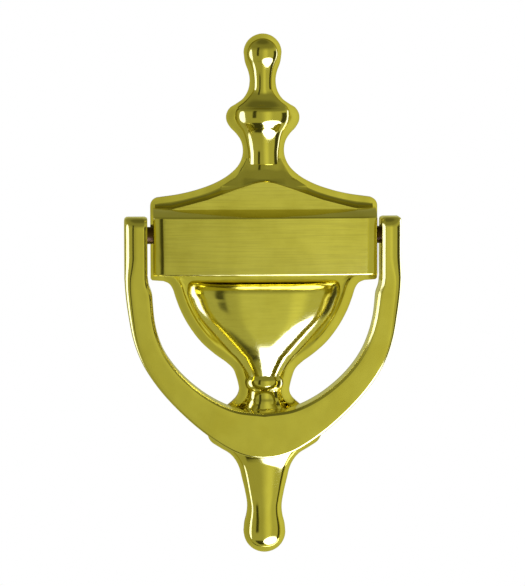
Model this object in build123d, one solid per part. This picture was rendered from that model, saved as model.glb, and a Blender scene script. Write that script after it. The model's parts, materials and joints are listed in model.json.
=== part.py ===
from build123d import *
import os

# An urn-pattern door knocker in cast brass, in millimetres.
# X is to the right, +Z is up, the front faces -Y and the door's face is the plane Y = 0.
# The origin lies on the upright centre line, midway between the two fixing posts.

# Overall sizes
TOP_Z = 97.0
BOTTOM_Z = -87.0
POST_SPACING = 90.0
POST_Z = POST_SPACING / 2
TOP_BALL_R = 6.8
BOTTOM_BALL_R = 7.4
CENTRE_FLAT = 0.4
FORWARD = (0, -1, 0)

# Backplate: a rim all round at one depth, with raised forms inside it
RIM_DEPTH = 4.0
FORM_BASE = 3.0
BLOCK_HALF = 39.7
BLOCK_FRONT_HALF = 38.8
BLOCK_DEPTH = 20.0
BLOCK_TOP = 36.2
BLOCK_FRONT_TOP = 33.2
BLOCK_FRONT_BOTTOM = 12.0
BLOCK_BOTTOM = 9.6
SIDE_HALF = 40.0
PEDIMENT_DEPTH = 9.5
WALL = 3.2

# Hinge: two short pins pushed outward through the block's end walls
PIN_Y = -11.0
PIN_Z = 26.5
PIN_R = 3.0
PIN_INNER_X = 32.4
PIN_OUTER_X = 45.3
RUNNING_CLEARANCE = 0.05

# Bail, the swinging knocker
BAIL_FRONT = 21.0
BAIL_BACK = 10.5
EAR_BACK = 5.0
EAR_TOP = 32.2
EAR_INNER = 41.4
EAR_OUTER = 48.4
EAR_BORE_DEPTH = 5.5
SIDE_PLAY = -1.1

# Strike button on the bail's back, and the pad that it meets
STRIKE_Z = -43.5
STRIKE_R = 5.5
STRIKE_SHANK_R = 3.0
PAD_DEPTH = 7.5
STRIKE_GAP = 0.15

# Fixings for a door 44 mm thick
DOOR = 44.0
STUD_R = 2.5
THREAD_R = 2.1
SPOT_R = 4.6
SPOT_DEPTH = 1.2
THREAD_DEPTH = 4.3
WASHER_R = 6.0
WASHER_THICK = 1.2
NUT_FLATS = 8.0
NUT_HEIGHT = 4.5


def front(sketch_plane_y):
    """The drawing plane that faces the viewer, at a depth in front of the door."""
    return Plane.XZ.offset(sketch_plane_y)


def slab(face, near, far):
    """Extrude a face drawn in X and Z from one depth to another, both in front of the door."""
    return extrude(front(near) * face, far - near, dir=FORWARD)


def mirrored_face(edges, top, bottom):
    """A face from its right-hand outline, which meets the centre line at two heights."""
    half = Sketch() + Face(Wire(edges + [Line((0, top), (0, bottom))]))
    return half + mirror(half, about=Plane.YZ)


def turned(points, axis_y):
    """A form turned about an upright axis at or behind the door, kept where it stands above the rim.

    Each point is the form's half-width at its foot, and a height.
    """
    reach = axis_y + FORM_BASE
    turned_points = [((half**2 + reach**2) ** 0.5, z) for half, z in points]
    first, last = turned_points[0], turned_points[-1]
    outline = [
        Spline(*turned_points),
        Line(last, (0, last[1])),
        Line((0, last[1]), (0, first[1])),
        Line((0, first[1]), first),
    ]
    profile = Pos(0, axis_y, 0) * (Plane.XZ * make_face(Curve() + outline))
    form = revolve(profile, Axis((0, axis_y, 0), (0, 0, 1)), 360)
    size = 2 * TOP_Z
    return form & Pos(0, -FORM_BASE - size / 2, 0) * Box(size, size, 2 * size)


def cylinder_along_x(radius, start, end):
    """A cylinder on the hinge's axis, from one X to another."""
    middle = (start + end) / 2
    return Pos(middle, PIN_Y, PIN_Z) * Rot(0, 90, 0) * Cylinder(radius, abs(end - start))


def cylinder_along_y(radius, z, start, end):
    """A cylinder square to the door at a height, from one Y to another."""
    middle = (start + end) / 2
    return Pos(0, middle, z) * Rot(90, 0, 0) * Cylinder(radius, abs(end - start))


def plate_outline():
    """The backplate's silhouette: finial, collar, shoulders, block, urn, strike base and drop."""
    top_ball = CenterArc((0, TOP_Z - TOP_BALL_R), TOP_BALL_R, 0, 90)
    finial = Spline(
        (TOP_BALL_R, TOP_Z - TOP_BALL_R),
        (4.5, 80.5),
        (6.4, 74.4),
        (11.0, 71.1),
        (12.9, 67.4),
        (10.6, 63.2),
        (7.6, 59.0),
        (7.3, 54.6),
        (10.5, 48.6),
        (17.1, 44.3),
        (26.0, 41.2),
        (37.0, 39.4),
        tangents=[(0, -1), (1, -0.1)],
    )
    corner = RadiusArc((37.0, 39.4), (SIDE_HALF, 36.4), 3.1)
    side = Line((SIDE_HALF, 36.4), (SIDE_HALF, BLOCK_BOTTOM))
    under = Line((SIDE_HALF, BLOCK_BOTTOM), (34.6, 9.0))
    urn = Spline(
        (34.6, 9.0),
        (31.8, 5.4),
        (29.5, -0.5),
        (22.2, -11.8),
        (13.2, -19.4),
        (9.9, -24.4),
        (8.8, -29.0),
        (12.0, -33.6),
        (18.6, -38.8),
        (20.3, -44.4),
        (15.6, -49.5),
        (10.3, -53.7),
        (8.2, -59.4),
        (6.4, -67.9),
        (6.4, -73.6),
        (BOTTOM_BALL_R, BOTTOM_Z + BOTTOM_BALL_R),
        tangents=[(-1, -0.3), (0, -1)],
    )
    bottom_ball = CenterArc((0, BOTTOM_Z + BOTTOM_BALL_R), BOTTOM_BALL_R, 0, -90)
    outline = [top_ball, finial, corner, side, under, urn, bottom_ball]
    return mirrored_face(outline, TOP_Z, BOTTOM_Z)


def block():
    """The plain block between the shoulders, drafted on all four sides."""
    base = front(FORM_BASE) * Pos(0, (BLOCK_TOP + BLOCK_BOTTOM) / 2) * Rectangle(
        2 * BLOCK_HALF, BLOCK_TOP - BLOCK_BOTTOM
    )
    face = front(BLOCK_DEPTH) * Pos(0, (BLOCK_FRONT_TOP + BLOCK_FRONT_BOTTOM) / 2) * Rectangle(
        2 * BLOCK_FRONT_HALF, BLOCK_FRONT_TOP - BLOCK_FRONT_BOTTOM
    )
    body = loft([base.face(), face.face()])
    return fillet(body.faces().sort_by(Axis.Y)[0].edges(), 0.8)


def pediment():
    """The low gable over the block, with a broad bevel down to the rim."""
    gable = mirrored_face(
        [
            Line((0, 44.8), (9.0, 42.9)),
            Line((9.0, 42.9), (20.0, 39.4)),
            Line((20.0, 39.4), (33.0, 35.9)),
            Line((33.0, 35.9), (33.0, 30.0)),
            Line((33.0, 30.0), (0, 30.0)),
        ],
        44.8,
        30.0,
    )
    foot = mirrored_face(
        [
            Line((0, 50.0), (10.0, 46.6)),
            Line((10.0, 46.6), (21.0, 41.8)),
            Line((21.0, 41.8), (37.0, 38.4)),
            Line((37.0, 38.4), (37.0, 29.0)),
            Line((37.0, 29.0), (0, 29.0)),
        ],
        50.0,
        29.0,
    )
    return loft([(front(FORM_BASE) * foot).face(), (front(PEDIMENT_DEPTH) * gable).face()], ruled=True)


def backplate():
    """The one casting: rim, raised forms, hollow back, tapped posts and strike pad."""
    rim = slab(plate_outline(), 0, RIM_DEPTH)

    top_form = turned(
        [
            (0, 94.6),
            (5.2, 90.0),
            (2.9, 80.6),
            (5.4, 74.2),
            (9.8, 69.4),
            (6.0, 62.4),
            (5.2, 56.5),
            (9.0, 49.0),
            (12.0, 44.0),
        ],
        0.5,
    )
    bowl = turned(
        [(26.0, 9.8), (26.0, 5.4), (24.2, -0.5), (17.8, -10.6), (10.0, -17.6), (5.6, -20.4)],
        14.0,
    )
    bead = turned([(5.2, -18.0), (7.1, -23.4), (5.6, -27.6), (7.4, -31.5), (11.0, -34.0)], 2.5)
    drop = turned([(9.0, -50.5), (7.4, -57.0), (4.8, -70.0), (5.8, -78.4), (0, -85.0)], 2.5)
    pad = slab(Pos(0, STRIKE_Z) * Ellipse(13.0, 8.0), 0, PAD_DEPTH)
    pad = chamfer(pad.faces().sort_by(Axis.Y)[0].edges(), 0.8)

    body = rim + block() + pediment() + top_form + bowl + bead + drop + pad

    block_hollow = slab(
        Pos(0, 21.5) * Rectangle(2 * (PIN_INNER_X + 0.2), 17.0), 0, BLOCK_DEPTH - WALL
    )
    bowl_hollow = turned(
        [(20.0, 13.5), (20.0, 4.0), (18.4, -1.0), (13.0, -9.0), (6.5, -14.0), (0, -15.5)],
        14.0,
    )
    bowl_mouth = extrude(
        Plane.XZ * mirrored_face(
            [
                Line((0, 13.5), (20.0, 13.5)),
                Line((20.0, 13.5), (20.0, 4.0)),
                Spline((20.0, 4.0), (13.0, -9.0), (0, -15.5)),
            ],
            13.5,
            -15.5,
        ),
        FORM_BASE,
        dir=FORWARD,
    )
    body = body - block_hollow - bowl_hollow - bowl_mouth

    for side in (-1, 1):
        body -= cylinder_along_x(PIN_R, side * (PIN_INNER_X - 1), side * (SIDE_HALF + 1))
        body -= cylinder_along_y(SPOT_R, side * POST_Z, 1, -SPOT_DEPTH)
        body -= cylinder_along_y(THREAD_R, side * POST_Z, 1, -SPOT_DEPTH - THREAD_DEPTH)
    return body


def bail_outline():
    """The bail seen from the front: two ears, tapering arms and a broad crescent."""
    outer = Spline(
        (EAR_OUTER, 12.0),
        (46.9, -0.8),
        (42.2, -17.6),
        (36.6, -26.0),
        (29.1, -34.4),
        (20.1, -42.5),
        (10.8, -48.3),
        (5.0, -50.3),
        (CENTRE_FLAT, -51.0),
        tangents=[(0, -1), (-1, 0)],
    )
    inner = Spline(
        (CENTRE_FLAT, -35.3),
        (15.2, -31.8),
        (24.0, -26.2),
        (33.9, -14.9),
        (38.1, -3.7),
        (39.6, 5.0),
        (EAR_INNER, 10.5),
        tangents=[(1, 0), (0, 1)],
    )
    outline = [
        Line((0, -51.0), (CENTRE_FLAT, -51.0)),
        outer,
        Line((EAR_OUTER, 12.0), (EAR_OUTER, 30.2)),
        RadiusArc((EAR_OUTER, 30.2), (EAR_OUTER - 2, EAR_TOP), -2.0),
        Line((EAR_OUTER - 2, EAR_TOP), (EAR_INNER + 1, EAR_TOP)),
        RadiusArc((EAR_INNER + 1, EAR_TOP), (EAR_INNER, EAR_TOP - 1), -1.0),
        Line((EAR_INNER, EAR_TOP - 1), (EAR_INNER, 10.5)),
        inner,
        Line((CENTRE_FLAT, -35.3), (0, -35.3)),
    ]
    return mirrored_face(outline, -35.3, -51.0)


def bail_side():
    """The bail seen from its end: deep at the ears, thinner down the arms."""
    return make_face(
        Curve()
        + [
            Line((-BAIL_FRONT, -60), (-BAIL_FRONT, 30.0)),
            RadiusArc((-BAIL_FRONT, 30.0), (-BAIL_FRONT + 3.2, EAR_TOP), 3.6),
            Line((-BAIL_FRONT + 3.2, EAR_TOP), (-EAR_BACK - 4.0, EAR_TOP)),
            RadiusArc((-EAR_BACK - 4.0, EAR_TOP), (-EAR_BACK, EAR_TOP - 4.0), 4.0),
            Line((-EAR_BACK, EAR_TOP - 4.0), (-EAR_BACK, 21.0)),
            Spline(
                (-EAR_BACK, 21.0), (-8.6, 8.0), (-BAIL_BACK, -8.0), tangents=[(0, -1), (0, -1)]
            ),
            Line((-BAIL_BACK, -8.0), (-BAIL_BACK, -60)),
            Line((-BAIL_BACK, -60), (-BAIL_FRONT, -60)),
        ]
    )


def bail():
    """The swinging knocker, hung on two blind bores in its ears."""
    plan = slab(bail_outline(), 0, BAIL_FRONT)
    side = extrude(Plane.YZ * bail_side(), EAR_OUTER + 2, both=True)
    body = plan & side
    for hand in (-1, 1):
        body -= cylinder_along_x(
            PIN_R + RUNNING_CLEARANCE, hand * (EAR_INNER - 1), hand * (EAR_INNER + EAR_BORE_DEPTH)
        )
    body -= cylinder_along_y(STRIKE_SHANK_R, STRIKE_Z, -BAIL_BACK + 1, -BAIL_BACK - 4.0)
    return Pos(SIDE_PLAY, 0, 0) * body


def strike_button():
    """A button pressed into the bail's back, which sounds on the pad."""
    shank = cylinder_along_y(STRIKE_SHANK_R, STRIKE_Z, -BAIL_BACK, -BAIL_BACK - 4.0)
    head = cylinder_along_y(STRIKE_R, STRIKE_Z, -BAIL_BACK, -PAD_DEPTH - STRIKE_GAP)
    head = chamfer(head.faces().sort_by(Axis.Y)[-1].edges(), 0.7)
    return Pos(SIDE_PLAY, 0, 0) * (shank + head)


def hinge_pin(side):
    """A plain pin pressed in the block's end wall, its outer end in the bail's ear."""
    pin = cylinder_along_x(PIN_R, side * PIN_INNER_X, side * PIN_OUTER_X)
    return chamfer(pin.edges().filter_by(GeomType.CIRCLE), 0.3)


def fixing_stud(z):
    """A threaded stud: one end in the post, the shank through the door, the other end in the nut."""
    root = cylinder_along_y(THREAD_R, z, -SPOT_DEPTH - THREAD_DEPTH, -SPOT_DEPTH)
    shank = cylinder_along_y(STUD_R, z, -SPOT_DEPTH, DOOR - 0.5)
    tail = cylinder_along_y(THREAD_R, z, DOOR - 0.5, DOOR + WASHER_THICK + NUT_HEIGHT)
    return root + shank + tail


def fixing_washer(z):
    """A plain washer against the door's inner face."""
    disc = cylinder_along_y(WASHER_R, z, DOOR, DOOR + WASHER_THICK)
    return disc - cylinder_along_y(STUD_R + 0.25, z, DOOR - 1, DOOR + WASHER_THICK + 1)


def dome_nut(z):
    """A hexagonal cap nut with a domed end."""
    seat = DOOR + WASHER_THICK
    hexagon = RegularPolygon(NUT_FLATS / 2, 6, major_radius=False)
    prism = Pos(0, seat, z) * extrude(Plane.XZ * hexagon, -NUT_HEIGHT)
    dome_r = NUT_FLATS / 2 - 0.3
    dome = Pos(0, seat + NUT_HEIGHT, z) * Sphere(dome_r)
    body = prism + (dome & Pos(0, seat + NUT_HEIGHT + 5, z) * Box(10, 10, 10))
    return body - cylinder_along_y(THREAD_R, z, seat - 1, seat + NUT_HEIGHT)


parts = {
    "urn_backplate": backplate(),
    "knocker_bail": bail(),
    "strike_button": strike_button(),
    "left_hinge_pin": hinge_pin(-1),
    "right_hinge_pin": hinge_pin(1),
    "upper_fixing_stud": fixing_stud(POST_Z),
    "lower_fixing_stud": fixing_stud(-POST_Z),
    "upper_fixing_washer": fixing_washer(POST_Z),
    "lower_fixing_washer": fixing_washer(-POST_Z),
    "upper_dome_nut": dome_nut(POST_Z),
    "lower_dome_nut": dome_nut(-POST_Z),
}

os.makedirs("parts", exist_ok=True)
for name, shape in parts.items():
    export_step(shape, os.path.join("parts", name + ".step"))
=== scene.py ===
import json
import math

import bmesh
import bpy
import numpy as np
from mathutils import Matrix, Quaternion, Vector


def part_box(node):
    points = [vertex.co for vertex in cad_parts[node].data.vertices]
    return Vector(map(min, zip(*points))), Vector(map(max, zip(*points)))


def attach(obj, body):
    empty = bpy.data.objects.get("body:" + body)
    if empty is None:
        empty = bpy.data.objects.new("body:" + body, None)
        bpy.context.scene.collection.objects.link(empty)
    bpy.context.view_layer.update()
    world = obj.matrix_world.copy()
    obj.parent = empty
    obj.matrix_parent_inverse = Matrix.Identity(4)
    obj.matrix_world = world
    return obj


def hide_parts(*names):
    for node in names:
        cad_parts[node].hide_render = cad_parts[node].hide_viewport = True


# An urn-pattern brass door knocker, shown nearly square on against white.
# The castings are worked out below in millimetres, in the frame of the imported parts:
# X to the right, +Z up, the front faces -Y and the door's face is the plane Y = 0.
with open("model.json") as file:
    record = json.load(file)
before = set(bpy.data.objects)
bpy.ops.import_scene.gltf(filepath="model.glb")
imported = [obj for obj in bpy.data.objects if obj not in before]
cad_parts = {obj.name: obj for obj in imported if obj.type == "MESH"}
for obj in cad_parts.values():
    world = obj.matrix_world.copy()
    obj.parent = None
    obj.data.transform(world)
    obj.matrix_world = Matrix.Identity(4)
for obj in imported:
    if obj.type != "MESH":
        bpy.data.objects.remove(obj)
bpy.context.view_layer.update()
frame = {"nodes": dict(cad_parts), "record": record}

MM = 0.001

# ---------------------------------------------------------------------------------------------
# Driving sizes, in millimetres
# ---------------------------------------------------------------------------------------------

plate_low, plate_high = (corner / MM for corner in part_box("urn_backplate"))
bail_low, bail_high = (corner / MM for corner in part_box("knocker_bail"))

# The backplate's outline
TOP_DROP = 0.35  # the finial in the photo is this much lower than the drawn one
TOP_Z = plate_high.z - TOP_DROP
BOTTOM_Z = plate_low.z
SIDE_HALF = plate_high.x
TOP_BALL_R = 6.6
BOTTOM_BALL_R = 7.4
SHOULDER_X = 37.0  # where the shoulder's curve runs into its corner
SHOULDER_Z = 39.4
CORNER_R = 3.1
CORNER_X = 36.9
CORNER_Z = 36.3
BLOCK_BOTTOM = 10.2
OUTLINE_SPACING = 0.36

# The backplate's depths, in front of the door's face
BLOCK_FRONT_Y = plate_low.y
RIM_FRONT = 3.6
RIM_CROWN = 0.18
CROWN_FROM = 0.08
RIM_WIDTH = 3.0
GROOVE_WIDTH = 0.7
GROOVE_FLOOR = 3.3
FOOT_Y = 3.2  # where the raised forms stand
BURIED_Y = 2.6  # how deep their feet run, inside the rim plate
PEDIMENT_Y = 11.0
HOLLOW = 1.8
HOLLOW_BORDER = 2.3
HOLLOW_BLEND = 0.4

# The posts for the fixing studs
POST_R = 4.6
POST_CHAMFER = 0.3
SPOT_R = 3.9
SPOT_DEPTH = 1.2
STUD_Z = 45.0

# The finial leans a little to the left, from its neck up
FINIAL_LEAN = -0.3
FINIAL_LEAN_FROM = 50.0
FINIAL_LEAN_TO = 68.0

# Meshing
SHARP_DEGREES = 38  # edges sharper than this are shaded as edges
MERGE_M = 2e-6
SLIVER_M = 1e-7
FORM_POINTS = 48  # points round a half-round form
FRONT_FACING = -0.985  # a normal's Y below this looks straight out at the front
PLATE_FRONT = -0.3  # and above this it is the rim plate's edge or back


# ---------------------------------------------------------------------------------------------
# Curves and meshes
# ---------------------------------------------------------------------------------------------


def smooth_line(points, per_span=12):
    """A curve through the points (centripetal Catmull-Rom), as an array of samples."""
    p = np.array(points, float)
    p = np.vstack([2 * p[0] - p[1], p, 2 * p[-1] - p[-2]])
    out = []
    for i in range(1, len(p) - 2):
        p0, p1, p2, p3 = p[i - 1 : i + 3]
        t0 = 0.0
        t1 = t0 + np.linalg.norm(p1 - p0) ** 0.5
        t2 = t1 + np.linalg.norm(p2 - p1) ** 0.5
        t3 = t2 + np.linalg.norm(p3 - p2) ** 0.5
        t = np.linspace(t1, t2, per_span, endpoint=False)[:, None]
        a1 = (t1 - t) / (t1 - t0) * p0 + (t - t0) / (t1 - t0) * p1
        a2 = (t2 - t) / (t2 - t1) * p1 + (t - t1) / (t2 - t1) * p2
        a3 = (t3 - t) / (t3 - t2) * p2 + (t - t2) / (t3 - t2) * p3
        b1 = (t2 - t) / (t2 - t0) * a1 + (t - t0) / (t2 - t0) * a2
        b2 = (t3 - t) / (t3 - t1) * a2 + (t - t1) / (t3 - t1) * a3
        out.append((t2 - t) / (t2 - t1) * b1 + (t - t1) / (t2 - t1) * b2)
    out.append(p[-2][None, :])
    return np.vstack(out)


def arc(centre, radius, start, end, count=24):
    """Points on a circle, from one angle to another, in degrees."""
    a = np.radians(np.linspace(start, end, count))
    return np.column_stack([centre[0] + radius * np.cos(a), centre[1] + radius * np.sin(a)])


def resample(line, spacing):
    """The same line with points at an even spacing."""
    steps = np.linalg.norm(np.diff(line, axis=0), axis=1)
    keep = np.concatenate([[True], steps > 1e-6])
    line = line[keep]
    length = np.concatenate([[0], np.cumsum(np.linalg.norm(np.diff(line, axis=0), axis=1))])
    count = max(2, int(round(length[-1] / spacing)) + 1)
    at = np.linspace(0, length[-1], count)
    return np.column_stack([np.interp(at, length, line[:, k]) for k in range(line.shape[1])])


def smoothstep(low, high, x):
    """0 below low, 1 above high, and a smooth rise between them."""
    t = np.clip((x - low) / (high - low), 0, 1)
    return t * t * (3 - 2 * t)


def smooth_max(a, b, blend):
    """The larger of two heights, with a fillet where they meet."""
    h = np.clip(0.5 + 0.5 * (a - b) / blend, 0, 1)
    return b * (1 - h) + a * h + blend * h * (1 - h)


def mesh_object(name, verts, faces, material):
    """A mesh in metres from points in millimetres."""
    mesh = bpy.data.meshes.new(name)
    mesh.from_pydata((np.asarray(verts) * MM).tolist(), [], [list(map(int, f)) for f in faces])
    mesh.validate()
    obj = bpy.data.objects.new(name, mesh)
    bpy.context.scene.collection.objects.link(obj)
    mesh.materials.append(material)
    return obj


def tidy(obj, fill=False):
    """Merge doubled points, close any holes if asked, face all faces outward and shade smooth."""
    mesh = obj.data
    bm = bmesh.new()
    bm.from_mesh(mesh)
    bmesh.ops.remove_doubles(bm, verts=bm.verts, dist=MERGE_M)
    bmesh.ops.dissolve_degenerate(bm, edges=bm.edges, dist=SLIVER_M)
    if fill:
        boundary = [edge for edge in bm.edges if edge.is_boundary]
        bmesh.ops.holes_fill(bm, edges=boundary, sides=0)
    bmesh.ops.recalc_face_normals(bm, faces=bm.faces)
    bm.to_mesh(mesh)
    bm.free()
    mesh.polygons.foreach_set("use_smooth", [True] * len(mesh.polygons))
    mesh.set_sharp_from_angle(angle=math.radians(SHARP_DEGREES))
    return obj


def grid_faces(rows, columns, first=0, wrap=False):
    """Quads of a grid of points; wrap joins the last column to the first."""
    faces = []
    for i in range(rows - 1):
        for j in range(columns if wrap else columns - 1):
            a = first + i * columns + j
            b = first + i * columns + (j + 1) % columns
            faces.append((a, b, b + columns, a + columns))
    return faces


def loft(name, rings, material):
    """A closed solid through rings with the same number of points, capped at both ends."""
    rings = np.asarray(rings, float)
    rows, columns = rings.shape[:2]
    faces = grid_faces(rows, columns, wrap=True)
    faces.append(tuple(range(columns))[::-1])
    faces.append(tuple((rows - 1) * columns + j for j in range(columns)))
    return tidy(mesh_object(name, rings.reshape(-1, 3), faces, material))


def raised_form(name, stations, material):
    """A half-round form on the plate: each station is its half-width, its depth and its height."""
    angle = np.linspace(0, np.pi, FORM_POINTS)
    rings = []
    for half, depth, z in stations:
        x = half * np.cos(angle)
        y = -(FOOT_Y + depth * np.sin(angle))
        x = np.concatenate([[half], x, [-half]])
        y = np.concatenate([[-BURIED_Y], y, [-BURIED_Y]])
        rings.append(np.column_stack([x, y, np.full(len(x), z)]))
    return loft(name, rings, material)


# ---------------------------------------------------------------------------------------------
# Materials
# ---------------------------------------------------------------------------------------------


class Nodes:
    """A short way to write a shader's nodes."""

    def __init__(self, tree):
        self.tree = tree

    def feed(self, node, values):
        """Link each value that is a socket to the node's input, and set each that is a number."""
        for key, value in values:
            if isinstance(value, bpy.types.NodeSocket):
                self.tree.links.new(value, node.inputs[key])
            else:
                node.inputs[key].default_value = value
        return node

    def add(self, kind, inputs=None, **settings):
        node = self.tree.nodes.new(kind)
        for key, value in settings.items():
            setattr(node, key, value)
        return self.feed(node, (inputs or {}).items())

    def math(self, operation, a, b=0.0):
        node = self.add("ShaderNodeMath", operation=operation)
        return self.feed(node, enumerate((a, b))).outputs[0]

    def step(self, low, high, value):
        """0 below low, 1 above high, and a smooth rise between them."""
        node = self.add(
            "ShaderNodeMapRange",
            {"Value": value, "From Min": low, "From Max": high},
            interpolation_type="SMOOTHSTEP",
        )
        return node.outputs[0]


# Noise scales are per metre, and heights are in metres
CLOUD_SCALE = 55.0
SPECK_SCALE = 900.0
MARK_SCALES = (1800.0, 300.0, 500.0)
MARK_HEIGHT = 1.2e-6
WAVE_SCALE = 130.0
GRAIN_HEIGHT = 1e-5
GRAIN_ROUGHNESS = 0.25
GRAIN_SHADE = 0.13
GRAIN_COLOUR = (0.2, 0.15, 0.02, 1)


def metal(name, colour, dark, roughness, wave=0.0, grain=None, grain_depth=1.0, wear=0.05):
    """A metal whose colour and roughness vary, with fine polishing marks.

    wave is the height in metres of the slow unevenness that hand polishing leaves. grain is
    the number of brushed lines per metre along X, Y and Z: few run along the grain. wear is
    how much the roughness varies.
    """
    material = bpy.data.materials.new(name)
    material.use_nodes = True
    tree = material.node_tree
    tree.nodes.clear()
    n = Nodes(tree)
    place = n.add("ShaderNodeTexCoord").outputs["Object"]

    def noise(scale, detail, noise_roughness):
        """Noise with one scale, or with its own scale along each of X, Y and Z."""
        settings = {"Vector": place, "Scale": scale}
        if isinstance(scale, tuple):
            stretched = n.add("ShaderNodeMapping", {"Vector": place, "Scale": scale})
            settings = {"Vector": stretched.outputs[0], "Scale": 1.0}
        settings.update({"Detail": detail, "Roughness": noise_roughness})
        return n.add("ShaderNodeTexNoise", settings).outputs["Fac"]

    cloud = noise(CLOUD_SCALE, 5.0, 0.6)
    speck = noise(SPECK_SCALE, 3.0, 0.7)
    tint = n.add(
        "ShaderNodeMix",
        {"Factor": n.step(0.35, 0.75, cloud), 6: colour, 7: dark},
        data_type="RGBA",
    ).outputs[2]
    spread = {"From Min": 0.3, "From Max": 0.7}
    spread.update({"To Min": roughness - wear / 2, "To Max": roughness + wear / 2})
    rough = n.add("ShaderNodeMapRange", {"Value": cloud, **spread}).outputs[0]
    rough = n.math("ADD", rough, n.math("MULTIPLY", n.step(0.62, 0.8, speck), wear))
    marks = noise(MARK_SCALES, 2.0, 0.5)
    height = n.math("MULTIPLY", marks, MARK_HEIGHT)
    if wave:
        slow = noise(WAVE_SCALE, 1.0, 0.4)
        height = n.math("ADD", height, n.math("MULTIPLY", slow, wave))
    if grain:
        lines = noise(grain, 6.0, 0.7)
        height = n.math("ADD", height, n.math("MULTIPLY", lines, grain_depth * GRAIN_HEIGHT))
        uneven = n.math("MULTIPLY", n.math("SUBTRACT", lines, 0.5), GRAIN_ROUGHNESS)
        rough = n.math("ADD", rough, uneven)
        shade = n.math("MULTIPLY", n.step(0.42, 0.64, lines), GRAIN_SHADE * grain_depth)
        tint = n.add(
            "ShaderNodeMix", {"Factor": shade, 6: tint, 7: GRAIN_COLOUR}, data_type="RGBA"
        ).outputs[2]
    bump = n.add("ShaderNodeBump", {"Height": height, "Strength": 1.0, "Distance": 1.0})
    shader = n.add(
        "ShaderNodeBsdfPrincipled",
        {"Base Color": tint, "Metallic": 1.0, "Roughness": rough, "Normal": bump.outputs[0]},
    )
    out = n.add("ShaderNodeOutputMaterial")
    tree.links.new(shader.outputs[0], out.inputs[0])
    return material


BRASS = (0.82, 0.745, 0.19, 1)
DULL_BRASS = (0.74, 0.655, 0.14, 1)
PALE_BRASS = (0.95, 0.875, 0.26, 1)
SOFT_BRASS = (0.92, 0.85, 0.25, 1)
TURNED_BRASS = (0.72, 0.58, 0.14, 1)
TURNED_DARK = (0.62, 0.48, 0.10, 1)
# The as-cast colours: the casting's own finish on the back and posts, and on the plate's edges their
# darkness is painted shade
SAND_BRASS_AND_EDGE_SHADE = (0.7, 0.6, 0.2, 1)
SAND_DARK_AND_EDGE_SHADE = (0.52, 0.42, 0.14, 1)
# The pin's steel: its own dark brown, made darker still as painted shade of the gap between the
# bail's ear and the block
STEEL_WITH_GAP_SHADE = (0.14, 0.08, 0.035, 1)
STEEL_WITH_GAP_SHADE_DARK = (0.07, 0.04, 0.018, 1)

POLISHED = metal("polished_brass", BRASS, DULL_BRASS, roughness=0.11, wave=2.0e-4)
CAST = metal("buffed_casting", BRASS, DULL_BRASS, roughness=0.14, wave=1.2e-4)
BRUSHED = metal(
    "brushed_brass", PALE_BRASS, BRASS, roughness=0.33, grain=(45.0, 500.0, 2000.0)
)
SATIN = metal(
    "buffed_brass",
    SOFT_BRASS,
    BRASS,
    roughness=0.15,
    wave=3e-5,
    grain=(90.0, 500.0, 1800.0),
    grain_depth=0.5,
)
TURNED = metal("turned_brass", TURNED_BRASS, TURNED_DARK, roughness=0.28)
# As-cast brass for the back, edges and posts; on the plate's edges its darker colour is painted
# shade, standing for the dark outline round the plate
AS_CAST_AND_EDGE_SHADE = metal("as_cast_brass_and_edge_shade", SAND_BRASS_AND_EDGE_SHADE, SAND_DARK_AND_EDGE_SHADE, roughness=0.42, wave=1.5e-4, wear=0.12)
# Steel for the pin, its darkness partly painted shade of the gap it sits in
PIN_STEEL_WITH_GAP_SHADE = metal("steel_with_painted_gap_shade", STEEL_WITH_GAP_SHADE, STEEL_WITH_GAP_SHADE_DARK, roughness=0.45)


# ---------------------------------------------------------------------------------------------
# Backplate
# ---------------------------------------------------------------------------------------------


def plate_outline():
    """The right half of the backplate's silhouette, from the top of the finial to the drop's end."""
    top_ball = arc((0, TOP_Z - TOP_BALL_R), TOP_BALL_R, 90, 0)
    finial = smooth_line(
        [
            (TOP_BALL_R, TOP_Z - TOP_BALL_R),
            (6.1, 86.6),
            (4.9, 83.2),
            (4.5, 80.3),
            (5.1, 76.8),
            (6.8, 74.0),
            (9.2, 72.2),
            (11.5, 70.7),
            (12.7, 68.6),
            (12.7, 66.2),
            (11.4, 63.8),
            (9.5, 61.8),
            (7.9, 59.4),
            (7.2, 56.5),
            (7.5, 53.4),
            (9.0, 50.3),
            (12.3, 47.1),
            (17.1, 44.3),
            (23.5, 41.95),
            (30.0, 40.4),
            (SHOULDER_X, SHOULDER_Z),
        ]
    )
    corner = arc((CORNER_X, CORNER_Z), CORNER_R, 88, 0, 12)
    urn = smooth_line(
        [
            (35.4, 9.9),
            (33.5, 9.0),
            (32.3, 7.3),
            (31.2, 4.0),
            (29.5, -0.5),
            (26.5, -6.1),
            (22.2, -11.8),
            (17.4, -16.1),
            (13.4, -19.0),
            (11.0, -21.4),
            (9.9, -24.2),
            (9.2, -26.8),
            (8.9, -29.0),
            (9.8, -31.4),
            (12.4, -34.0),
            (16.2, -37.0),
            (19.2, -40.2),
            (20.3, -43.6),
            (19.2, -46.9),
            (15.8, -49.4),
            (12.3, -51.6),
            (10.3, -53.9),
            (8.9, -56.8),
            (8.1, -60.0),
            (6.9, -65.1),
            (6.1, -70.0),
            (6.3, -73.2),
            (7.1, -76.6),
            (BOTTOM_BALL_R, BOTTOM_Z + BOTTOM_BALL_R),
        ]
    )
    bottom_ball = arc((0, BOTTOM_Z + BOTTOM_BALL_R), BOTTOM_BALL_R, 0, -90)
    edge = [(SIDE_HALF, CORNER_Z), (SIDE_HALF, BLOCK_BOTTOM + 0.6), (39.4, BLOCK_BOTTOM)]
    outline = np.vstack([top_ball, finial, corner, edge, urn, bottom_ball])
    return resample(outline, OUTLINE_SPACING)


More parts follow.
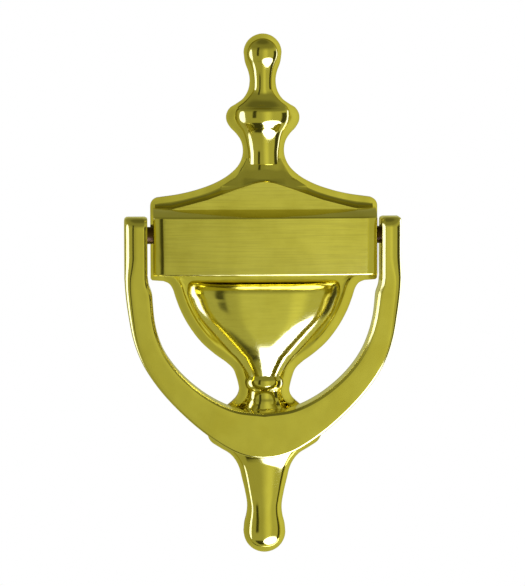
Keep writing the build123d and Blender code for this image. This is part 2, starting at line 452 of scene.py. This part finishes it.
def distance_to(line, points):
    """How far each point lies from a line of short straight runs."""
    a, b = line[:-1], line[1:]
    run = b - a
    squared = np.maximum((run**2).sum(1), 1e-12)
    out = np.empty(len(points))
    batch = 2000  # keeps the arrays small
    for start in range(0, len(points), batch):
        q = points[start : start + batch, None, :]
        t = np.clip(((q - a) * run).sum(2) / squared, 0, 1)
        near = a + t[..., None] * run
        out[start : start + batch] = np.sqrt(((q - near) ** 2).sum(2).min(1))
    return out


def rim_height(d):
    """The plate's height at a distance in from its edge: a slightly crowned rim, then a groove."""
    crown = RIM_CROWN * smoothstep(CROWN_FROM, RIM_WIDTH, d)
    groove = RIM_FRONT + RIM_CROWN - GROOVE_FLOOR
    return RIM_FRONT + crown - groove * smoothstep(RIM_WIDTH, RIM_WIDTH + GROOVE_WIDTH, d)


def rim_plate():
    """The flat casting under everything, meshed along ribs that run in from its edge."""
    line = plate_outline()
    n = len(line)
    x, z = line[:, 0], line[:, 1]
    top_centre = (0, TOP_Z - TOP_BALL_R)
    bottom_centre = (0, BOTTOM_Z + BOTTOM_BALL_R)

    def index(px, pz):
        return int(np.argmin((x - px) ** 2 + (z - pz) ** 2))

    # Places on the outline, and where the rib that starts there ends
    keys = [
        (0, top_centre),
        (index(TOP_BALL_R, top_centre[1]), top_centre),
        (index(7.5, 53.4), (0, 53.4)),
        (index(20, 43.1), (0, 32)),
        (index(SHOULDER_X, SHOULDER_Z), (29, 31)),
        (index(SIDE_HALF, 12), (27, 16)),
        (index(35.4, 9.9), (24, 14)),
        (index(32.3, 7.3), (8, 8)),
        (index(30.6, 2.5), (0, 2.5)),
        (index(BOTTOM_BALL_R, bottom_centre[1]), bottom_centre),
        (n - 1, bottom_centre),
    ]
    spots = np.array([k[0] for k in keys])
    at = np.arange(n)
    cx = np.interp(at, spots, [k[1][0] for k in keys])
    cz = np.interp(at, spots, [k[1][1] for k in keys])
    finial = (at > spots[1]) & (at < spots[2])
    urn = (at > spots[8]) & (at < spots[9])
    cz = np.where((cx == 0) & finial | urn, z, cz)  # level ribs down the narrow parts

    near = [0, 0.02, 0.05, 0.1, 0.15, 0.3, 0.7, 1.1, 1.5, 1.9, 2.3, 2.7, 3.0, 3.12]
    near = np.array(near + [3.25, 3.38, 3.5, 3.62, 3.75, 4.2, 5.0])
    far = np.linspace(0, 1, 8)[1:]
    full_rib = 8.0  # on a shorter rib the near points move closer together
    rib = np.hypot(cx - x, cz - z)
    scale = np.minimum(1, rib / full_rib)
    share = near[None, :] * scale[:, None] / rib[:, None]
    share = np.hstack([share, share[:, -1:] + (1 - share[:, -1:]) * far[None, :]])
    gx = x[:, None] + (cx - x)[:, None] * share
    gz = z[:, None] + (cz - z)[:, None] * share
    flat = np.column_stack([gx.ravel(), gz.ravel()])
    whole = np.vstack([line, line[::-1] * (-1, 1)])
    inward = distance_to(whole, flat).reshape(gx.shape)
    height = rim_height(inward)
    hollow = HOLLOW * smoothstep(HOLLOW_BORDER, HOLLOW_BORDER + HOLLOW_BLEND, inward)
    m = gx.shape[1]

    verts, faces = [], []
    for hand in (1, -1):
        first = sum(len(v) for v in verts)
        verts.append(np.column_stack([hand * gx.ravel(), -height.ravel(), gz.ravel()]))
        faces += grid_faces(n, m, first)
        back = first + n * m
        verts.append(np.column_stack([hand * gx.ravel(), -hollow.ravel(), gz.ravel()]))
        faces += grid_faces(n, m, back)
        for i in range(n - 1):
            a, b = first + i * m, first + (i + 1) * m
            faces.append((a, b, b + n * m, a + n * m))
    plate = tidy(mesh_object("rim_plate", np.vstack(verts), faces, POLISHED), fill=True)
    # The edges and the back take the as-cast colour: the casting's own finish on the back, painted
    # shade for the dark outline on the edges
    plate.data.materials.append(AS_CAST_AND_EDGE_SHADE)
    for face in plate.data.polygons:
        if face.normal.y > PLATE_FRONT:
            face.material_index = 1
    return plate


def post(z):
    """A post in the cast hollow, with a spot face for one of the fixing studs."""
    turn = np.linspace(0, 2 * np.pi, 48, endpoint=False)
    profile = [
        (POST_R, -BURIED_Y),
        (POST_R, -POST_CHAMFER),
        (POST_R - POST_CHAMFER, 0),
        (SPOT_R, 0),
        (SPOT_R, -SPOT_DEPTH),
    ]
    rings = []
    for radius, y in profile:
        ring = [radius * np.cos(turn), np.full(len(turn), y), z + radius * np.sin(turn)]
        rings.append(np.column_stack(ring))
    return loft("post", rings, AS_CAST_AND_EDGE_SHADE)


def stations(points, per_span=8, flatten=None):
    """Stations of a raised form through (half-width, height) or (half-width, depth, height)."""
    if flatten is not None:
        points = [(half, half * flatten, z) for half, z in points]
    line = smooth_line(points, per_span)
    line[:, :2] = np.maximum(line[:, :2], 0.002)
    return line


def finial_form():
    """Ball, neck and cove, in one turning."""
    ball = [(5.4 * math.cos(a), 89.6 + 5.4 * math.sin(a)) for a in np.radians(range(90, -21, -10))]
    neck = [(4.3, 86.0), (3.65, 84.0), (3.3, 81.8), (3.15, 79.6), (3.2, 77.9)]
    cove = [
        (3.2, 2.56, 77.9),
        (3.4, 2.6, 76.9),
        (4.1, 2.8, 75.6),
        (5.2, 3.3, 74.2),
        (6.5, 4.0, 72.9),
        (7.8, 4.8, 71.9),
        (8.6, 5.5, 71.2),
        (9.0, 6.0, 70.5),
    ]
    line = np.vstack([stations(ball + neck, 4, 0.8), stations(cove, 8)[1:]])
    return raised_form("finial", line, POLISHED)


def collar_form():
    """The collar's bead, running down into the baluster neck."""
    vase = [
        (8.2, 70.6),
        (9.0, 70.4),
        (9.5, 69.6),
        (9.7, 68.2),
        (9.6, 66.8),
        (9.2, 65.5),
        (8.3, 64.1),
        (7.3, 62.7),
        (6.6, 61.1),
        (6.05, 59.2),
        (5.7, 57.2),
        (5.4, 55.0),
        (5.4, 52.6),
        (5.5, 51.0),
    ]
    return raised_form("collar", stations(vase, 8, 0.86), POLISHED)


def shoulders():
    """The coves that sweep from the neck to the block, and the gable facet between them."""
    line = plate_outline()
    neck_z, outline_top = 53.0, 53.4
    half_width = 38.3
    inset = 1.75  # from the outline in to the cove's outer edge
    upper = (line[:, 1] > 39.0) & (line[:, 1] < outline_top)
    edge_x = line[upper, 0]
    edge_z = line[upper, 1]
    half = np.concatenate([np.linspace(0, 12, 40), np.linspace(12, half_width, 90)[1:]])
    blend = smoothstep(6.0, 9.5, half)
    outer = (1 - blend) * neck_z + blend * (np.interp(half + 0.5, edge_x, edge_z) - inset)
    gable_x = [0, 1.5, 4.2, 10, 20, 28, 31.2, 33]
    gable_z = [45.0, 44.9, 44.3, 42.4, 38.8, 36.7, 35.9, 35.5]
    gable = np.interp(half, gable_x, gable_z)
    gable = np.where(half > gable_x[-1], 35.6, gable)
    fade = 1 - 0.3 * smoothstep(31.0, half_width, half)
    top = RIM_FRONT + 0.1
    depth = top + (PEDIMENT_Y - top) * (0.35 + 0.65 * fade)

    # The neck's foot: how wide it is, and how far it swells, at each height
    spread_z = [43.5, 44.6, 46.2, 48.3, 50.9, 53.0]
    spread_x = [15.0, 13.0, 10.0, 8.0, 6.8, 5.9]
    swell_z = [44.6, 45.5, 47.0, 49.0, 50.9, 51.8, 53.0]
    swell_y = [7.0, 6.7, 6.0, 5.1, 4.5, 4.2, 3.0]
    fillet = 2.4

    turn = np.linspace(0, 1, 26) * math.pi / 2
    rows = []
    for x, z0, z1, full in zip(half, outer, gable, depth):
        z = z0 - (z0 - z1) * np.sin(turn)
        cove = top + (full - top) * (1 - np.cos(turn))
        spread = np.interp(z, spread_z, spread_x)
        swell = np.interp(z, swell_z, swell_y)
        flare = FOOT_Y + swell * np.clip(1 - (x / spread) ** 2, 0, 1) ** 0.9
        height = smooth_max(cove, flare, fillet)
        height = np.minimum(height, np.maximum(full, cove))
        z = np.concatenate([z, [z1 - 0.12, z1 - 0.35, z1 - 0.8, 34.0, 31.0]])
        y = np.concatenate([-height, [-full - 0.02] + 4 * [-full - 0.04]])
        rows.append(np.column_stack([np.full(len(z), x), y, z]))
    rows = np.array(rows)
    mirrored = rows[1:][::-1] * (-1, 1, 1)
    rows = np.vstack([mirrored, rows])
    buried = rows.copy()
    buried[:, :, 1] = -BURIED_Y
    rings = np.concatenate([rows, buried[:, ::-1]], axis=1)
    return loft("shoulders", rings, POLISHED)


def rounded_corner(y, z, radius, start, end, count, up):
    """A rounded corner of the block's section, as distances out and heights."""
    points = []
    for a in np.radians(np.linspace(start, end, count)):
        out = y - radius + radius * math.cos(a)
        points.append((out, z - up * radius + up * radius * math.sin(a)))
    return points


def block():
    """The plain block: drafted sides, ends rounded into the brushed face, and a soft lower edge."""
    half_front = 38.9
    low, high = 12.7, 33.2
    crown = 1.8  # how far the ends of the face lie behind its middle
    flat_columns = 58

    # Each end turns away in short steps, across by step and back by the turn's slope
    turn = np.radians([0, 2, 5, 8, 11, 13, 15, 17, 19, 23, 30, 40, 50, 58])
    step = np.array([0, 0.5, 0.5, 0.4, 0.35, 0.45, 0.6, 0.6, 0.45, 0.25, 0.16, 0.14, 0.12, 0.1])
    away = np.cumsum(step)
    away = half_front - away[-1] + away
    drop = np.cumsum(step * np.tan(turn))
    away, drop = away[::-1], drop[::-1]
    middle = np.linspace(away[-1], -away[-1], flat_columns + 2)[1:-1]
    xs = np.concatenate([away, middle, -away[::-1]])
    sag = np.concatenate([drop, np.zeros(flat_columns), drop[::-1]])
    sag = sag + crown * (xs / half_front) ** 2
    rings = []
    for x, s in zip(xs, sag):
        face = -BLOCK_FRONT_Y - s
        section = [(BURIED_Y, 11.9), (FOOT_Y, 12.0)]
        section += rounded_corner(face, low, 0.7, 82, 0, 9, up=-1)
        section += rounded_corner(face, high, 0.8, 0, 62, 8, up=1)
        section += [(PEDIMENT_Y - 0.6, 35.55), (PEDIMENT_Y - 3, 35.9), (BURIED_Y, 36.0)]
        rings.append([(x, -y, z) for y, z in section])
    return loft("block", rings, POLISHED)


def bowl():
    """The urn's bowl: nearly flat down its middle, rolling over to its rim on a larger radius."""
    points = [
        (25.2, 5.2, 10.0),
        (25.9, 6.8, 9.7),
        (26.5, 8.2, 9.2),
        (26.85, 9.1, 8.5),
        (27.0, 9.75, 7.5),
        (27.1, 10.2, 6.2),
        (27.0, 10.4, 4.8),
        (26.4, 10.4, 3.0),
        (24.9, 10.4, -0.8),
        (22.4, 10.2, -4.8),
        (19.1, 9.8, -8.8),
        (16.0, 9.2, -12.2),
        (12.9, 8.3, -15.4),
        (10.6, 7.6, -17.6),
        (8.8, 6.95, -19.8),
        (7.5, 6.35, -21.8),
        (6.6, 5.9, -23.4),
        (6.1, 5.4, -25.0),
    ]
    line = stations(points, 8)
    turn = np.radians(np.linspace(80, 0, 40))
    rings = []
    for half, depth, z in line:
        middle = half * (0.1 + 0.2 * smoothstep(-15.0, -3.0, z))
        side_x = middle + (half - middle) * np.sin(turn) / math.sin(turn[0])
        side_y = depth * (1 - (1 - np.cos(turn)) / (1 - math.cos(turn[0])))
        flat_x = np.linspace(middle, -middle, 14)[1:-1]
        x = np.concatenate([[half], side_x, flat_x, -side_x[::-1], [-half]])
        y = np.concatenate([side_y, np.full(len(flat_x), depth), side_y[::-1]])
        y = np.concatenate([[-BURIED_Y], -(FOOT_Y + y), [-BURIED_Y]])
        rings.append(np.column_stack([x, y, np.full(len(x), z)]))
    return loft("bowl", rings, SATIN)


def stem():
    """The beads and flared foot between the bowl and the strike base."""
    bead = [(5.9, -23.2), (6.3, -24.1), (6.75, -25.2), (6.85, -26.5), (6.5, -27.8), (5.9, -28.7)]
    knop = [(5.9, -28.3), (5.5, -29.2), (5.35, -30.2), (5.5, -31.4), (5.9, -32.6), (6.1, -33.4)]
    foot = [
        (6.0, 5.2, -33.0),
        (6.3, 5.25, -34.0),
        (6.9, 5.35, -35.2),
        (8.0, 5.4, -36.4),
        (9.8, 5.4, -37.8),
        (12.2, 5.2, -39.4),
        (14.6, 4.5, -41.4),
        (16.4, 3.4, -44.5),
        (13.6, 3.4, -48.0),
    ]
    return [
        raised_form("upper_bead", stations(bead, 8, 1.0), POLISHED),
        raised_form("knop", stations(knop, 8, 0.92), POLISHED),
        raised_form("foot", stations(foot, 8), POLISHED),
    ]


def drop():
    """The drop finial under the bail."""
    points = [
        (14.2, 4.6, -46.5),
        (13.2, 4.7, -49.0),
        (11.0, 4.5, -51.2),
        (9.2, 3.85, -53.4),
        (8.0, 3.3, -55.6),
        (7.2, 3.05, -58.0),
        (6.5, 2.8, -61.0),
        (5.8, 2.5, -64.6),
        (5.1, 2.3, -68.4),
        (4.75, 2.3, -71.0),
        (4.9, 2.5, -73.6),
        (5.35, 2.85, -76.0),
        (5.7, 3.1, -78.6),
        (5.6, 3.0, -81.0),
        (4.8, 2.5, -83.2),
        (3.1, 1.6, -84.7),
        (0.0, 0.0, -85.3),
    ]
    return raised_form("drop", stations(points, 8), POLISHED)


def brush_front(obj, depth=None):
    """Give the faces that look straight out at the front, beyond a depth, the brushed finish."""
    obj.data.materials.append(BRUSHED)
    for face in obj.data.polygons:
        deep_enough = depth is None or face.center.y < -depth * MM
        if face.normal.y < FRONT_FACING and deep_enough:
            face.material_index = 1
    return obj


def lean(obj, shift, start, end):
    """Move the points sideways, by nothing at the start height up to the whole shift at the end."""
    points = np.empty(len(obj.data.vertices) * 3)
    obj.data.vertices.foreach_get("co", points)
    points = points.reshape(-1, 3)
    height = points[:, 2] / MM
    share = np.clip((height - start) / (end - start), 0, 1)
    points[:, 0] += shift * MM * share * share * (3 - 2 * share)
    obj.data.vertices.foreach_set("co", points.ravel())
    obj.data.update()


def join(name, parts):
    """One object from several meshes."""
    bpy.ops.object.select_all(action="DESELECT")
    for part in parts:
        part.select_set(True)
    bpy.context.view_layer.objects.active = parts[0]
    bpy.ops.object.join()
    whole = bpy.context.view_layer.objects.active
    whole.name = name
    whole.data.name = name
    return whole


def backplate():
    """The whole backplate casting."""
    parts = [
        rim_plate(),
        finial_form(),
        collar_form(),
        brush_front(shoulders(), depth=9.5),
        brush_front(block()),
        bowl(),
        *stem(),
        drop(),
        post(STUD_Z),
        post(-STUD_Z),
    ]
    plate = join("backplate_casting", parts)
    lean(plate, FINIAL_LEAN, FINIAL_LEAN_FROM, FINIAL_LEAN_TO)
    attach(plate, "plate")
    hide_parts("urn_backplate")


# ---------------------------------------------------------------------------------------------
# Bail
# ---------------------------------------------------------------------------------------------

EAR_INNER = 41.4
EAR_OUTER = 48.4
EAR_RISE = 0.8  # the ears in the photo stand this much higher than the drawn ones
EAR_TOP = bail_high.z + EAR_RISE
BAIL_FRONT = -bail_low.y
BAIL_BACK = 10.5
EAR_BACK = -bail_high.y
SIDE_PLAY = (bail_low.x + bail_high.x) / 2
STRAIGHT_Z = 12.0  # the ears run straight down to here
LEFT_EAR_EXTRA = 1.5  # the left ear reaches this much further toward the block
BAIL_LEAN = 0.35
BAIL_LEAN_FROM = 10.0
BAIL_LEAN_TO = -25.0
EAR_TOP_ROUNDING = 0.98  # 1 would bring the ear's top to a quarter circle
HEEL_R = 0.9
BEVEL_SOFT = 0.35
EAR_ROWS = 46
ARM_ROWS = 150
SIDE_FACING = 0.1  # a normal's Y below this looks out sideways
OPENING_Z = 12.0  # a point inside the opening, to tell the outer side from the inner
BRUSHED_TOP = 30.0


def bail_rails():
    """Matching outer and inner edges of the bail's right half, from the ear's top to the centre."""
    ear = np.linspace(EAR_TOP, STRAIGHT_Z, EAR_ROWS)
    outer_low = smooth_line(
        [
            (EAR_OUTER, STRAIGHT_Z),
            (47.9, 6.0),
            (46.9, -0.8),
            (45.2, -9.2),
            (42.1, -17.6),
            (36.7, -26.0),
            (29.2, -34.4),
            (20.2, -42.3),
            (10.9, -48.3),
            (5.0, -50.4),
            (0, -51.0),
        ],
        20,
    )
    inner_low = smooth_line(
        [
            (EAR_INNER, STRAIGHT_Z),
            (41.0, 9.3),
            (39.9, 6.2),
            (39.4, 2.6),
            (38.6, -2.4),
            (37.1, -7.8),
            (34.6, -13.6),
            (30.6, -19.5),
            (25.0, -25.2),
            (18.0, -30.3),
            (10.0, -33.9),
            (0, -35.3),
        ],
        20,
    )
    share = np.linspace(0, 1, ARM_ROWS)
    rails = []
    for ear_x, low in ((EAR_OUTER, outer_low), (EAR_INNER, inner_low)):
        low = resample(low, 0.05)
        low = low[(share * (len(low) - 1)).astype(int)]
        straight = np.column_stack([np.full(EAR_ROWS, ear_x), ear])
        rails.append(np.vstack([straight, low[1:]]))
    return rails


def bail_section(width, front, back, chamfer, bevel):
    """A section across the bail: offsets from the outer edge, and depths, as an open ring.

    The outer corner is rolled over on a large radius and the inner one is a narrow flat bevel.
    """
    heel, soft = HEEL_R, BEVEL_SOFT
    points = [
        (heel * (1 - math.cos(a)), back + heel * (1 - math.sin(a)))
        for a in np.radians(np.linspace(90, 0, 6))
    ]
    points += [
        (chamfer * (1 - math.cos(a)), front - chamfer * (1 - math.sin(a)))
        for a in np.radians(np.linspace(0, 90, 14))
    ]
    points += [(chamfer + (width - chamfer - bevel) * t, front) for t in (0.2, 0.4, 0.6, 0.8)]
    for a in np.radians(np.linspace(0, 45, 5)):
        across = width - bevel + soft * math.sin(a) - soft * 0.4
        points.append((across, front - soft + soft * math.cos(a)))
    for a in np.radians(np.linspace(45, 90, 5)):
        across = width - soft + soft * math.sin(a)
        points.append((across, front - bevel + soft * math.cos(a) - soft * 0.4))
    points += [
        (width - heel * (1 - math.cos(a)), back + heel * (1 - math.sin(a)))
        for a in np.radians(np.linspace(0, 90, 6))
    ]
    return np.array(points)


def top_rounding(z, run, size):
    """How far a face is pulled back to round the ear's top over the last run of its height."""
    rise = np.clip((z - (EAR_TOP - run)) / run, 0, 1)
    return size * (1 - math.sqrt(1 - EAR_TOP_ROUNDING * rise**2))


def bail_side(extra):
    """Rings down one arm, from the top of its ear to the middle of the crescent.

    extra is how much further than drawn the ear reaches toward the block.
    """
    rings = []
    for o, i in zip(*bail_rails()):
        high = smoothstep(-30.0, STRAIGHT_Z, o[1])
        o[0] -= 0.3 * extra * smoothstep(-8.0, STRAIGHT_Z, i[1])
        i[0] -= extra * smoothstep(-16.0, 9.0, i[1])
        z = o[1]
        width = np.linalg.norm(i - o)
        front = BAIL_FRONT - top_rounding(z, 4.4, 3.4)
        back = BAIL_BACK - (BAIL_BACK - EAR_BACK) * smoothstep(-6.0, 20.0, z)
        back = back + top_rounding(z, 4.0, 4.0)
        chamfer = 0.9 + 3.4 * high * (0.5 + 0.5 * smoothstep(9.0, 20.0, z))
        bevel = 0.9 + 0.2 * high
        section = bail_section(width, front, back, chamfer, bevel)
        across = (i - o) / width
        pull = top_rounding(z, 1.0, 0.9)
        offset = pull + section[:, 0] * (width - 2 * pull) / width
        ring = [o[0] + across[0] * offset, -section[:, 1], o[1] + across[1] * offset]
        rings.append(np.column_stack(ring))
    return np.array(rings)


def bail():
    """The swinging knocker, buffed in front and brushed round its outer side."""
    right = bail_side(0.0)
    left = bail_side(LEFT_EAR_EXTRA)[:-1][::-1] * (-1, 1, 1)
    body = loft("bail_casting", np.vstack([right, left]) + (SIDE_PLAY, 0, 0), CAST)
    body.data.materials.append(BRUSHED)
    for face in body.data.polygons:
        from_opening = (face.center.x, face.center.z - OPENING_Z * MM)
        outward = face.normal.x * from_opening[0] + face.normal.z * from_opening[1] > 0
        sideways = abs(face.normal.y) < SIDE_FACING
        if sideways and outward and face.center.z < BRUSHED_TOP * MM:
            face.material_index = 1
    lean(body, BAIL_LEAN, BAIL_LEAN_FROM, BAIL_LEAN_TO)
    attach(body, "bail")
    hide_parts("knocker_bail")


# ---------------------------------------------------------------------------------------------
# The CAD parts that stay
# ---------------------------------------------------------------------------------------------


def dress_cad_parts():
    """Give each carried-over part its metal."""
    # The pin's steel carries painted shade of the gap it sits in
    metals = {"pin_steel": PIN_STEEL_WITH_GAP_SHADE, "turned_brass": TURNED, "fixing_brass": TURNED}
    for part in frame["record"]["subparts"]:
        node = frame["nodes"][part["node"]]
        if part["material_slot"] in metals:
            node.data.materials.clear()
            node.data.materials.append(metals[part["material_slot"]])


# ---------------------------------------------------------------------------------------------
# Studio
# ---------------------------------------------------------------------------------------------


WHITE = (1, 1, 1, 1)
FLOOR_HALF = 400.0
FLOOR_Z = -190.0


def studio_world():
    """Soft panels and lamps that the brass reflects; the camera sees plain white behind it.

    Directions are in degrees: azimuth 0 is in front of the object and 90 toward +X.
    """
    world = bpy.data.worlds.new("studio")
    bpy.context.scene.world = world
    world.use_nodes = True
    tree = world.node_tree
    tree.nodes.clear()
    n = Nodes(tree)
    generated = n.add("ShaderNodeTexCoord").outputs["Generated"]
    x, y, z = n.add("ShaderNodeSeparateXYZ", {"Vector": generated}).outputs
    in_degrees = 180 / math.pi
    azimuth = n.math("ARCTAN2", x, n.math("MULTIPLY", y, -1.0))
    azimuth = n.math("MULTIPLY", azimuth, in_degrees)
    elevation = n.math("MULTIPLY", n.math("ARCSINE", z), in_degrees)

    def panel(az, az_half, el, el_half, soft):
        """1 inside a soft-edged rectangle of directions, 0 outside."""
        off = n.math("ABSOLUTE", n.math("SUBTRACT", azimuth, az))
        up = n.math("ABSOLUTE", n.math("SUBTRACT", elevation, el))
        across = n.math("SUBTRACT", 1.0, n.step(az_half, az_half + soft, off))
        along = n.math("SUBTRACT", 1.0, n.step(el_half, el_half + soft, up))
        return n.math("MULTIPLY", across, along)

    def lamp(strength, az, az_half, el, el_half):
        """The strength inside a soft-edged ellipse of directions, 0 outside."""
        across = n.math("DIVIDE", n.math("SUBTRACT", azimuth, az), az_half)
        along = n.math("DIVIDE", n.math("SUBTRACT", elevation, el), el_half)
        across = n.math("MULTIPLY", across, across)
        squared = n.math("ADD", across, n.math("MULTIPLY", along, along))
        return n.math("MULTIPLY", n.math("SUBTRACT", 1.0, n.step(0.8, 1.15, squared)), strength)

    def mix(low, high, amount):
        """low where the amount is 0, high where it is 1; both are numbers or sockets."""
        rest = n.math("SUBTRACT", 1.0, amount)
        return n.math("ADD", n.math("MULTIPLY", rest, low), n.math("MULTIPLY", amount, high))

    room = n.math("ADD", 0.38, n.math("MULTIPLY", n.step(-11.0, 18.0, azimuth), 0.3))
    room = mix(room, 0.47, n.step(20.0, 40.0, azimuth))
    room = mix(room, 0.24, n.step(12.0, 38.0, elevation))
    room = mix(room, 0.13, n.step(48.0, 72.0, elevation))
    dark = 0.05
    room = mix(room, dark, panel(-31.0, 4.5, 12.0, 22.0, 6.0))
    room = mix(room, dark, panel(-30.0, 22.0, -59.0, 12.0, 8.0))
    room = mix(room, dark, panel(94.0, 13.0, -10.0, 18.0, 8.0))
    far_round = n.step(145.0, 160.0, n.math("ABSOLUTE", azimuth))
    behind = n.math("MULTIPLY", far_round, n.step(18.0, 8.0, elevation))
    room = mix(room, 0.5, behind)

    sides = n.math("ADD", lamp(1.8, -92.0, 17.0, -6.0, 27.0), lamp(1.8, 134.0, 18.0, -6.0, 24.0))
    lamps = n.math("ADD", sides, lamp(5.5, 47.0, 51.0, -49.0, 23.0))

    warm = n.add("ShaderNodeBackground", {"Color": (1.0, 1.0, 0.42, 1), "Strength": room})
    cool = n.add("ShaderNodeBackground", {"Color": (0.92, 1.0, 2.4, 1), "Strength": lamps})
    studio = n.add("ShaderNodeAddShader", {0: warm.outputs[0], 1: cool.outputs[0]})
    white = n.add("ShaderNodeBackground", {"Color": WHITE, "Strength": 1.0})
    seen = n.add("ShaderNodeLightPath").outputs["Is Camera Ray"]
    both = n.add("ShaderNodeMixShader", {0: seen, 1: studio.outputs[0], 2: white.outputs[0]})
    out = n.add("ShaderNodeOutputWorld")
    tree.links.new(both.outputs[0], out.inputs[0])


def floor():
    """A plain white floor under the object, which the brass doesn't reflect."""
    material = bpy.data.materials.new("white_floor")
    material.use_nodes = True
    tree = material.node_tree
    tree.nodes.clear()
    n = Nodes(tree)
    glow = n.add("ShaderNodeEmission", {"Color": WHITE, "Strength": 1.0})
    out = n.add("ShaderNodeOutputMaterial")
    tree.links.new(glow.outputs[0], out.inputs[0])
    half, z = FLOOR_HALF, FLOOR_Z
    corners = [(-half, -half, z), (half, -half, z), (half, half, z), (-half, half, z)]
    plane = mesh_object("floor", corners, [(0, 1, 2, 3)], material)
    plane.visible_glossy = False


def camera():
    """The photograph's view: a little from the left and a little from above."""
    azimuth, elevation = math.radians(-2.5), math.radians(5.0)
    roll = math.radians(0.12)
    lens, sensor = 150.0, 36.0
    view_height = 207.7  # what the picture shows from top to bottom, at the target
    target = np.array([-0.4, 0.0, 5.2])
    distance = lens * view_height / sensor
    back = np.array(
        [
            math.sin(azimuth) * math.cos(elevation),
            -math.cos(azimuth) * math.cos(elevation),
            math.sin(elevation),
        ]
    )
    data = bpy.data.cameras.new("camera")
    data.lens = lens
    data.sensor_width = sensor
    data.clip_start = 0.01
    cam = bpy.data.objects.new("camera", data)
    bpy.context.scene.collection.objects.link(cam)
    cam.location = (target + distance * back) * MM
    cam.rotation_mode = "QUATERNION"
    turn = Quaternion((0, 0, 1), -roll)
    cam.rotation_quaternion = Vector(-back).to_track_quat("-Z", "Y") @ turn
    bpy.context.scene.camera = cam


backplate()
bail()
dress_cad_parts()
studio_world()
floor()
camera()
bpy.context.scene.view_settings.view_transform = "Standard"
